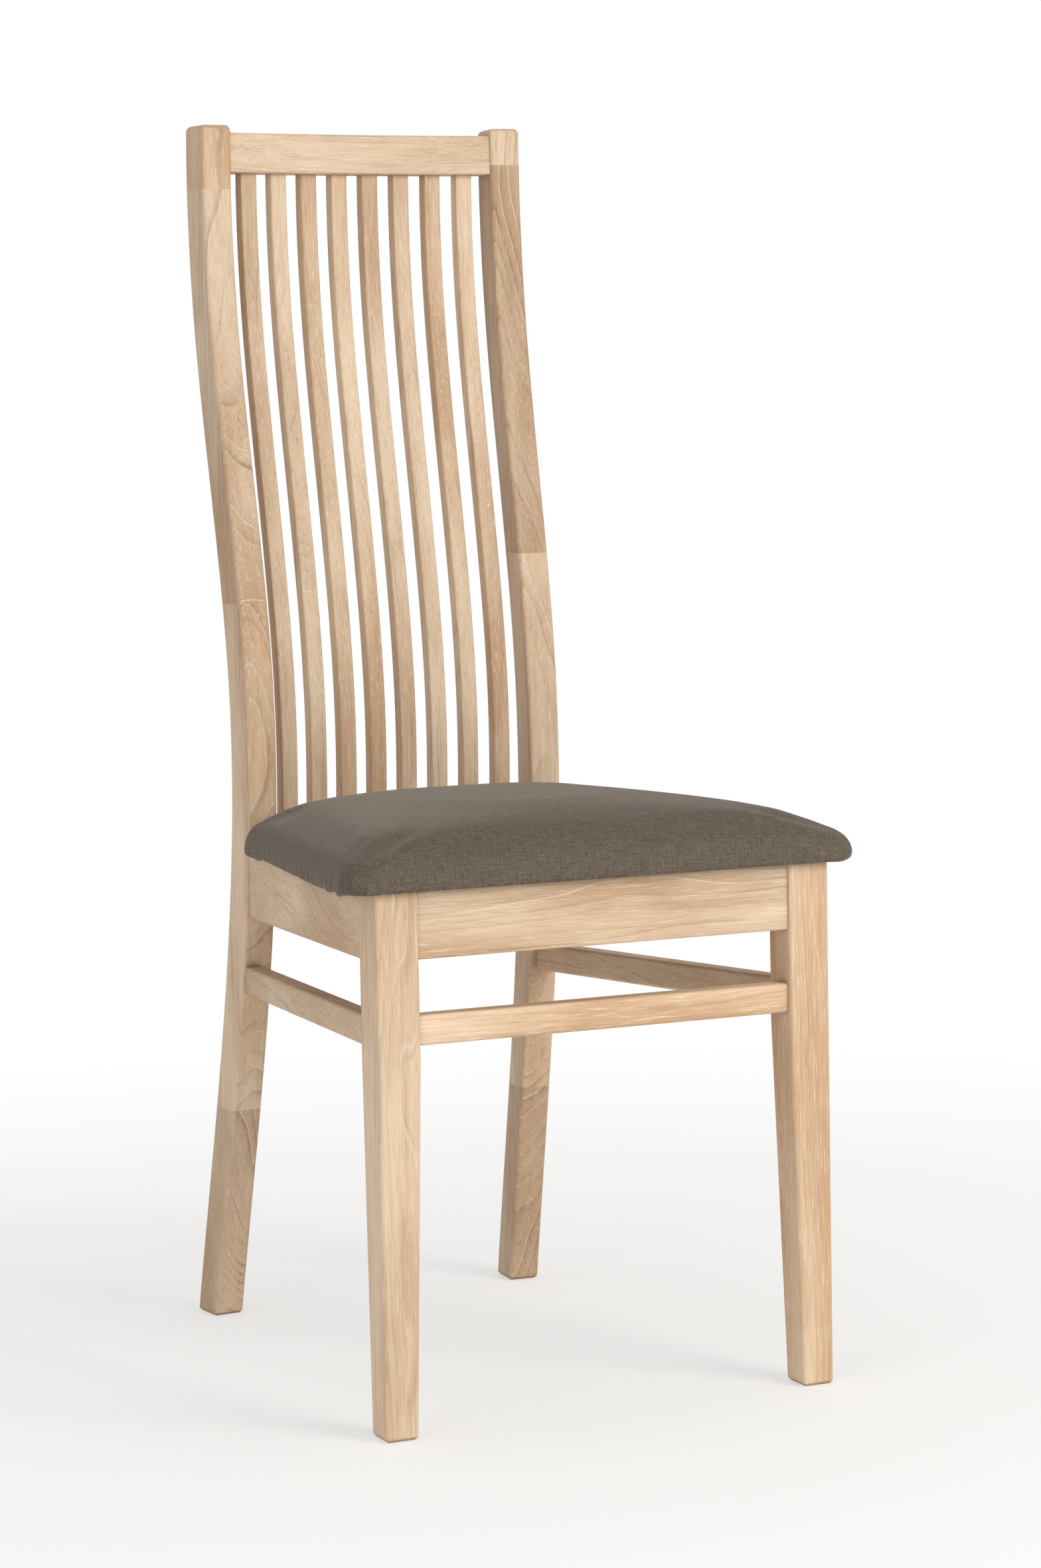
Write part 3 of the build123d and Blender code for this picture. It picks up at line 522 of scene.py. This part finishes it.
# ---------------------------------------------------------------- seat cloth
# Woven wool-blend upholstery cloth with a short nap, piece dyed taupe. To the eye: mottled
# yarns, no gloss, and a pale bloom where the nap is seen from the side.
CLOTH_DARK = "#463e35"
CLOTH_BODY = "#5a5147"
CLOTH_LIGHT = "#776d61"
CLOTH_NAP = "#a69c8e"
THREAD = 1.5 * MM           # real threads are 0.7 mm: drawn wider so that they show
SLUB_LENGTH = 14 * MM
WORN_PATCH, LINT_SIZE = 35.7 * MM, 1.11 * MM


def seat_cloth():
    material, tree, shader = new_material("taupe_wool_cloth")
    place = add_node(tree, "ShaderNodeUVMap", uv_map="cloth").outputs[0]
    yarns = []
    for scale in ((1 / THREAD, 1 / SLUB_LENGTH, 1), (1 / SLUB_LENGTH, 1 / THREAD, 1)):
        stretched = add_node(tree, "ShaderNodeMapping", {"Vector": place, "Scale": scale}).outputs[0]
        yarns.append(add_node(tree, "ShaderNodeTexNoise", {
            "Vector": stretched, "Scale": 1.0, "Detail": 3.0, "Roughness": 0.65}).outputs["Fac"])
    yarn = add_node(tree, "ShaderNodeMath", {0: yarns[0], 1: yarns[1]}, operation="ADD").outputs[0]
    turns = add_node(tree, "ShaderNodeVectorMath", {0: place, 1: (pi / THREAD,) * 3},
                     operation="MULTIPLY").outputs[0]
    split = add_node(tree, "ShaderNodeSeparateXYZ", {0: turns})
    waves = [add_node(tree, "ShaderNodeMath", {0: split.outputs[axis]}, operation="SINE").outputs[0]
             for axis in ("X", "Y")]
    weave = add_node(tree, "ShaderNodeMath", {0: waves[0], 1: waves[1]},
                     operation="MULTIPLY").outputs[0]
    patch = add_node(tree, "ShaderNodeTexNoise", {"Vector": place, "Scale": 1 / WORN_PATCH, "Detail": 4.0,
                                                 "Roughness": 0.6}).outputs["Fac"]
    lint = add_node(tree, "ShaderNodeTexNoise", {"Vector": place, "Scale": 1 / LINT_SIZE, "Detail": 2.0,
                                                "Roughness": 0.7}).outputs["Fac"]
    body = add_node(tree, "ShaderNodeMapRange", {"Value": yarn, "From Min": 0.75, "From Max": 1.25,
                                                 "To Min": 0.0, "To Max": 1.0}).outputs[0]
    colour = add_node(tree, "ShaderNodeMix", {0: body, 6: srgb(CLOTH_DARK), 7: srgb(CLOTH_LIGHT)},
                      data_type="RGBA").outputs[2]
    worn = add_node(tree, "ShaderNodeMapRange", {"Value": patch, "From Min": 0.35, "From Max": 0.65,
                                                 "To Min": 0.25, "To Max": 0.6}).outputs[0]
    colour = add_node(tree, "ShaderNodeMix", {0: worn, 6: colour, 7: srgb(CLOTH_BODY)},
                      data_type="RGBA").outputs[2]
    fluff = add_node(tree, "ShaderNodeMapRange", {"Value": lint, "From Min": 0.55, "From Max": 0.75,
                                                  "To Min": 0.0, "To Max": 0.65}).outputs[0]
    colour = add_node(tree, "ShaderNodeMix", {0: fluff, 6: colour, 7: srgb(CLOTH_NAP)},
                      data_type="RGBA").outputs[2]
    tree.links.new(colour, shader.inputs["Base Color"])
    shader.inputs["Roughness"].default_value = 0.92
    shader.inputs["Specular IOR Level"].default_value = 0.2
    shader.inputs["Sheen Weight"].default_value = 0.4
    shader.inputs["Sheen Roughness"].default_value = 0.3
    shader.inputs["Sheen Tint"].default_value = srgb("#d8d0c4")
    relief = add_node(tree, "ShaderNodeMath", {0: weave, 1: lint}, operation="ADD").outputs[0]
    relief = add_node(tree, "ShaderNodeMath", {0: relief, 1: yarn}, operation="ADD").outputs[0]
    bump = add_node(tree, "ShaderNodeBump", {"Height": relief, "Strength": 0.45,
                                            "Distance": 0.25 * MM}).outputs[0]
    tree.links.new(bump, shader.inputs["Normal"])
    return material


dress(seat_pad, seat_cloth())
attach(seat_pad, "root")
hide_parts("seat_cover", "foam_pad")


# ---------------------------------------------------------------- staples and screws
# The CAD model's plain staples and screws are redrawn with round wire and cross recesses.
STAPLE_WIRE, STAPLE_CROWN, STAPLE_LEG = 1.0 * MM, 9.4 * MM, 6.0 * MM
STAPLE_BEND = 0.8 * MM
SCREW_SIZES_MM = {                      # head width, head height, shank width, length of shank
    "seat_screws": (9.0, 3.5, 4.5, 37.0), "corner_block_screws": (8.0, 3.0, 4.0, 27.0)}
SCREW_SIDES = 48
HEAD_RINGS = (0.0, 0.14, 0.28, 0.42, 0.56, 0.7, 0.82, 0.92, 0.98, 1.0)      # share of its radius
HEAD_DOME, CROSS_DEPTH = 0.45, 0.55     # shares of the head's height
CROSS_WIDTH, CROSS_REACH = 0.075, 0.27  # half its width and its reach, shares of the head's width


def loose_parts(name):
    """The points of each separate solid of a CAD node."""
    bm = bmesh.new()
    bm.from_mesh(nodes[name].data)
    bmesh.ops.remove_doubles(bm, verts=bm.verts, dist=0.01 * MM)
    left, parts = set(bm.verts), []
    while left:
        front, part = [left.pop()], []
        while front:
            vert = front.pop()
            part.append(vert.co.copy())
            for edge in vert.link_edges:
                other = edge.other_vert(vert)
                if other in left:
                    left.remove(other)
                    front.append(other)
        parts.append(np.array(part))
    bm.free()
    return parts


def staple_place(part):
    """Matrix of one staple: X along its crown, Z up its legs, origin in the crown."""
    middle = (part.max(axis=0) + part.min(axis=0)) / 2
    spread = part[:, :2] - middle[:2]
    along = np.linalg.svd(spread, full_matrices=False)[2][0]
    across = Vector((along[0], along[1], 0)).normalized()
    up = Vector((0, FALL, 1)).normalized()
    across = (across - up * across.dot(up)).normalized()
    origin = Vector((middle[0], middle[1], frame_height(middle[1]) + STAPLE_WIRE / 2))
    return Matrix.Translation(origin) @ Matrix((across, up.cross(across), up)).transposed().to_4x4()


def screw_place(part):
    """Matrix of one screw: Z out of its head, origin in the outer face of the head."""
    middle = part.mean(axis=0)
    axis = np.linalg.svd(part - (part.max(axis=0) + part.min(axis=0)) / 2,
                         full_matrices=False)[2][0]
    run = (part - middle) @ axis
    off = np.linalg.norm((part - middle) - run[:, None] * axis, axis=1)
    if off[run > np.median(run)].max() < off[run < np.median(run)].max():
        axis, run = -axis, -run
    head = part[run > run.max() - 1.0 * MM].mean(axis=0)
    out = Vector(axis)
    return Matrix.Translation(Vector(head)) @ out.to_track_quat("Z", "Y").to_matrix().to_4x4()


def staple_shape():
    """Round wire bent into a crown with two legs."""
    half, bend, knee = STAPLE_CROWN / 2, STAPLE_BEND, STAPLE_BEND * 0.3
    leg = [(half - bend, 0, 0), (half - knee, 0, knee), (half, 0, bend), (half, 0, STAPLE_LEG)]
    path = [(-x, y, z) for x, y, z in reversed(leg)] + leg
    curve = bpy.data.curves.new("staple_path", "CURVE")
    curve.dimensions, curve.bevel_depth, curve.bevel_resolution = "3D", STAPLE_WIRE / 2, 1
    curve.use_fill_caps = True
    line = curve.splines.new("POLY")
    line.points.add(len(path) - 1)
    for point, place in zip(line.points, path):
        point.co = (*place, 1)
    obj = bpy.data.objects.new("staple_path", curve)
    mesh = bpy.data.meshes.new_from_object(obj)
    bpy.data.objects.remove(obj)
    return mesh


def screw_shape(head, height, shank, length):
    """A pan head with a cross recess on a plain shank, turned about Z."""
    bm = bmesh.new()
    turns = [2 * pi * i / SCREW_SIDES for i in range(SCREW_SIDES)]
    rings = []
    for share in HEAD_RINGS:
        ring = []
        for angle in turns:
            x, y = head / 2 * share * cos(angle), head / 2 * share * sin(angle)
            near, far = sorted((abs(x), abs(y)))
            in_cross = near < head * CROSS_WIDTH and far < head * CROSS_REACH
            depth = HEAD_DOME * share ** 4 + (CROSS_DEPTH if in_cross else 0)
            ring.append(bm.verts.new((x, y, -height * depth)))
        rings.append(ring)
    point = -height - length
    for radius, z in ((head / 2, -height), (shank / 2, -height), (shank / 2, point + shank),
                      (0.1 * MM, point)):
        rings.append([bm.verts.new((radius * cos(angle), radius * sin(angle), z))
                      for angle in turns])
    for inner, outer in zip(rings, rings[1:]):
        for i in range(SCREW_SIDES):
            j = (i + 1) % SCREW_SIDES
            bm.faces.new((inner[i], outer[i], outer[j], inner[j]))
    bm.faces.new(rings[-1])
    bmesh.ops.remove_doubles(bm, verts=bm.verts, dist=0.001 * MM)
    bmesh.ops.recalc_face_normals(bm, faces=bm.faces)
    mesh = bpy.data.meshes.new("screw_shape")
    bm.to_mesh(mesh)
    bm.free()
    return mesh


def set_out(name, shape, places, material):
    """Repeat a shape at these places with Geometry Nodes, as one plain mesh."""
    points = bpy.data.meshes.new(name)
    points.from_pydata([place.to_translation() for place in places], [], [])
    turn = points.attributes.new("turn", "FLOAT_VECTOR", "POINT")
    turn.data.foreach_set("vector", [a for place in places for a in place.to_euler()])
    template = new_object(name + "_shape", shape)
    tree = bpy.data.node_groups.new(name + "_layout", "GeometryNodeTree")
    face = tree.interface
    face.new_socket("Places", in_out="INPUT", socket_type="NodeSocketGeometry")
    face.new_socket("Shape", in_out="INPUT", socket_type="NodeSocketObject")
    face.new_socket("Size", in_out="INPUT", socket_type="NodeSocketFloat")
    face.new_socket("Result", in_out="OUTPUT", socket_type="NodeSocketGeometry")
    given = tree.nodes.new("NodeGroupInput")
    made = tree.nodes.new("NodeGroupOutput")
    spot = add_node(tree, "GeometryNodeObjectInfo", {"Object": given.outputs["Shape"]})
    angle = add_node(tree, "GeometryNodeInputNamedAttribute", {"Name": "turn"},
                     data_type="FLOAT_VECTOR").outputs["Attribute"]
    angle = add_node(tree, "FunctionNodeEulerToRotation", {0: angle}).outputs[0]
    put = add_node(tree, "GeometryNodeInstanceOnPoints", {
        "Points": given.outputs["Places"], "Instance": spot.outputs["Geometry"],
        "Rotation": angle, "Scale": given.outputs["Size"]})
    real = add_node(tree, "GeometryNodeRealizeInstances", {0: put.outputs[0]})
    paint = add_node(tree, "GeometryNodeSetMaterial", {0: real.outputs[0], "Material": material})
    tree.links.new(paint.outputs[0], made.inputs[0])
    obj = new_object(name, points)
    layout = obj.modifiers.new("layout", "NODES")
    layout.node_group = tree
    chosen = {"Shape": template, "Size": 1.0}
    for item in face.items_tree:
        if item.in_out == "INPUT" and item.name in chosen:
            layout[item.identifier] = chosen[item.name]
    apply_modifiers(obj)
    bpy.data.objects.remove(template)
    dress(obj, material)
    obj.data.shade_smooth()
    return obj


# Zinc-plated steel, tumbled and passivated. To the eye: soft silver with a faint cloudy bloom.
BLOOM_SIZE = 2.86 * MM


def plated_steel(name, light, dark, rough):
    material, tree, shader = new_material(name)
    place = add_node(tree, "ShaderNodeTexCoord").outputs["Object"]
    bloom = add_node(tree, "ShaderNodeTexNoise", {"Vector": place, "Scale": 1 / BLOOM_SIZE,
                                                 "Detail": 3.0}).outputs["Fac"]
    colour = add_node(tree, "ShaderNodeMix", {0: bloom, 6: srgb(dark), 7: srgb(light)},
                      data_type="RGBA").outputs[2]
    tree.links.new(colour, shader.inputs["Base Color"])
    gloss = add_node(tree, "ShaderNodeMapRange", {"Value": bloom, "To Min": rough - 0.08,
                                                  "To Max": rough + 0.1}).outputs[0]
    tree.links.new(gloss, shader.inputs["Roughness"])
    shader.inputs["Metallic"].default_value = 1.0
    bump = add_node(tree, "ShaderNodeBump", {"Height": bloom, "Strength": 0.2,
                                            "Distance": 0.05 * MM}).outputs[0]
    tree.links.new(bump, shader.inputs["Normal"])
    return material


def hang(obj, node_name):
    """Put a finished piece on the chair in place of a CAD node."""
    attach(obj, "root")
    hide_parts(node_name)


wire = plated_steel("galvanised_staple_wire", "#b4b6b8", "#84878a", 0.4)
zinc = plated_steel("zinc_plated_steel", "#c9c8c2", "#9b9a92", 0.36)
staples = [staple_place(part) for part in loose_parts("cover_staples")]
hang(set_out("wire_staples", staple_shape(), staples, wire), "cover_staples")
for node_name, screw_sizes in SCREW_SIZES_MM.items():
    screws = [screw_place(part) for part in loose_parts(node_name)]
    cross_head = screw_shape(*[size * MM for size in screw_sizes])
    hang(set_out(node_name + "_cross_head", cross_head, screws, zinc), node_name)


# ---------------------------------------------------------------- hidden wood and lining
# Sawn timber, left from the blade and unfinished. To the eye: dry, slightly fuzzy, with faint
# saw lines across the grain.
SAW_PITCH = 4.7 * MM        # real saw lines are 2 mm apart: drawn wider so that they show
FIBRE_WIDTH, FIBRE_LENGTH = 2.38 * MM, 45 * MM
WAVE_PERIOD = 2 * pi / 20   # one band of the wave texture, at a scale of 1


def sawn_wood(name, light, dark, turn):
    material, tree, shader = new_material(name)
    place = add_node(tree, "ShaderNodeTexCoord").outputs["Object"]
    log = add_node(tree, "ShaderNodeMapping", {"Vector": place, "Rotation": turn}).outputs[0]
    long_way = add_node(tree, "ShaderNodeMapping", {
        "Vector": log, "Scale": (1 / FIBRE_WIDTH, 1 / FIBRE_WIDTH, 1 / FIBRE_LENGTH)}).outputs[0]
    grain = add_node(tree, "ShaderNodeTexNoise", {"Vector": long_way, "Scale": 1.0,
                                                 "Detail": 4.0}).outputs["Fac"]
    saw = add_node(tree, "ShaderNodeTexWave", {"Vector": log, "Scale": WAVE_PERIOD / SAW_PITCH,
                                              "Distortion": 1.5, "Detail": 2.0},
                   bands_direction="Z").outputs["Fac"]
    colour = add_node(tree, "ShaderNodeMix", {0: grain, 6: srgb(dark), 7: srgb(light)},
                      data_type="RGBA").outputs[2]
    tree.links.new(colour, shader.inputs["Base Color"])
    shader.inputs["Roughness"].default_value = 0.85
    relief = add_node(tree, "ShaderNodeMath", {0: grain, 1: saw}, operation="ADD").outputs[0]
    bump = add_node(tree, "ShaderNodeBump", {"Height": relief, "Strength": 0.4,
                                            "Distance": 0.2 * MM}).outputs[0]
    tree.links.new(bump, shader.inputs["Normal"])
    return material


block_wood = sawn_wood("sawn_oak_blocks", "#c9a67c", "#a07a52", GRAIN_ACROSS)
for piece_name in nodes:
    if piece_name.startswith("corner_block") and "screws" not in piece_name:
        dress(nodes[piece_name], block_wood)
dress(nodes["seat_board"], sawn_wood("birch_plywood", "#d9bd92", "#b8935f", GRAIN_BACK))
for piece_name in ("apron_dowels", "top_rail_dowels"):
    dress(nodes[piece_name], sawn_wood("beech_dowel_" + piece_name, "#d8b58c", "#b98f66",
                                       GRAIN_BACK))


# Spun-bonded polypropylene lining, point-welded. To the eye: dull black felt with rows of dimples.
WELD_SPACING, LINING_FIBRE = 2.5 * MM, 1.43 * MM


def lining_cloth():
    material, tree, shader = new_material("black_spunbond_lining")
    place = add_node(tree, "ShaderNodeTexCoord").outputs["Object"]
    welds = add_node(tree, "ShaderNodeTexVoronoi", {"Vector": place, "Scale": 1 / WELD_SPACING,
                                                    "Randomness": 0.1}).outputs["Distance"]
    fibre = add_node(tree, "ShaderNodeTexNoise", {"Vector": place, "Scale": 1 / LINING_FIBRE,
                                                 "Detail": 4.0}).outputs["Fac"]
    colour = add_node(tree, "ShaderNodeMix", {0: fibre, 6: srgb("#121211"), 7: srgb("#34322f")},
                      data_type="RGBA").outputs[2]
    tree.links.new(colour, shader.inputs["Base Color"])
    shader.inputs["Roughness"].default_value = 0.8
    bump = add_node(tree, "ShaderNodeBump", {"Height": welds, "Strength": 0.5,
                                            "Distance": 0.3 * MM}).outputs[0]
    tree.links.new(bump, shader.inputs["Normal"])
    return material


dress(nodes["dust_cover"], lining_cloth())


# ---------------------------------------------------------------- camera, floor and light
CAMERA_AT = (-1.4042, -3.1143, 0.8106)
CAMERA_TURN = radians(24.95)
CAMERA_TILT = radians(-5.30)
CAMERA_ROLL = radians(-1.087)
LONG_SIDE = 36 * MM
FOCAL_LENGTH = 91.48            # millimetres

camera_data = bpy.data.cameras.new("studio_camera")
camera_data.lens = FOCAL_LENGTH
camera_data.sensor_width = LONG_SIDE / MM
camera = new_object("studio_camera", camera_data)
ahead = Vector((sin(CAMERA_TURN) * cos(CAMERA_TILT), cos(CAMERA_TURN) * cos(CAMERA_TILT),
                sin(CAMERA_TILT)))
aside = ahead.cross(Vector((0, 0, 1))).normalized()
upward = aside.cross(ahead)
across = aside * cos(CAMERA_ROLL) + upward * sin(CAMERA_ROLL)
up = upward * cos(CAMERA_ROLL) - aside * sin(CAMERA_ROLL)
camera.matrix_world = Matrix.Translation(CAMERA_AT) @ Matrix(
    (across, up, -ahead)).transposed().to_4x4()
camera_data.clip_start, camera_data.clip_end = 0.05, 60
scene.camera = camera

# White paper floor. It fades into the white air behind it, and is clear from underneath.
floor_material, floor_tree, floor_shader = new_material("white_paper_floor")
floor_shader.inputs["Base Color"].default_value = srgb("#fbfaf8")
floor_shader.inputs["Roughness"].default_value = 0.85
floor_place = add_node(floor_tree, "ShaderNodeTexCoord").outputs["Object"]
floor_way = add_node(floor_tree, "ShaderNodeVectorMath", {0: floor_place},
                     operation="LENGTH").outputs["Value"]
floor_far = add_node(floor_tree, "ShaderNodeMapRange", {
    "Value": floor_way, "From Min": 0.2, "From Max": 1.8, "To Min": 0.5, "To Max": 1.0},
    interpolation_type="SMOOTHSTEP").outputs[0]
floor_seen = add_node(floor_tree, "ShaderNodeLightPath").outputs["Is Camera Ray"]
floor_share = add_node(floor_tree, "ShaderNodeMath", {0: floor_far, 1: floor_seen},
                       operation="MULTIPLY").outputs[0]
floor_glow = add_node(floor_tree, "ShaderNodeEmission", {"Color": srgb("#ffffff")}).outputs[0]
floor_mix = add_node(floor_tree, "ShaderNodeMixShader", {
    0: floor_share, 1: floor_shader.outputs["BSDF"], 2: floor_glow}).outputs[0]
floor_under = add_node(floor_tree, "ShaderNodeNewGeometry").outputs["Backfacing"]
floor_clear = add_node(floor_tree, "ShaderNodeBsdfTransparent").outputs[0]
floor_out = add_node(floor_tree, "ShaderNodeMixShader", {
    0: floor_under, 1: floor_mix, 2: floor_clear}).outputs[0]
floor_tree.links.new(floor_out, floor_tree.nodes["Material Output"].inputs["Surface"])
floor_mesh = bpy.data.meshes.new("studio_floor")
FLOOR_REACH, FLOOR_GAP = 40.0, 0.3 * MM
floor_mesh.from_pydata([(x * FLOOR_REACH, y * FLOOR_REACH, -FLOOR_GAP) for x, y in
                        ((-1, -1), (1, -1), (1, 1), (-1, 1))], [], [(0, 1, 2, 3)])
floor = new_object("studio_floor", floor_mesh)
dress(floor, floor_material)

WORLD_LIGHT = 0.6
world = bpy.data.worlds.new("studio_air")
world.use_nodes = True
air = world.node_tree
air.nodes["Background"].inputs["Color"].default_value = srgb("#ffffff")
air_seen = add_node(air, "ShaderNodeLightPath").outputs["Is Camera Ray"]
air_strength = add_node(air, "ShaderNodeMapRange", {
    "Value": air_seen, "To Min": WORLD_LIGHT, "To Max": 1.0}).outputs[0]
air.links.new(air_strength, air.nodes["Background"].inputs["Strength"])
scene.world = world


def soft_light(name, at, target, size, power, colour):
    """A square softbox at a place, turned towards a target."""
    data = bpy.data.lights.new(name, "AREA")
    data.shape, data.size, data.energy, data.color = "SQUARE", size, power, srgb(colour)[:3]
    lamp = new_object(name, data)
    lamp.matrix_world = Matrix.Translation(at) @ (
        Vector(target) - Vector(at)).to_track_quat("-Z", "Y").to_matrix().to_4x4()


soft_light("key_softbox", (1.6, -3.0, 1.9), (0, 0, 0.45), 1.7, 68, "#fffaf2")
soft_light("fill_softbox", (-2.6, -1.7, 0.9), (0, 0, 0.35), 1.4, 13, "#fffdf8")
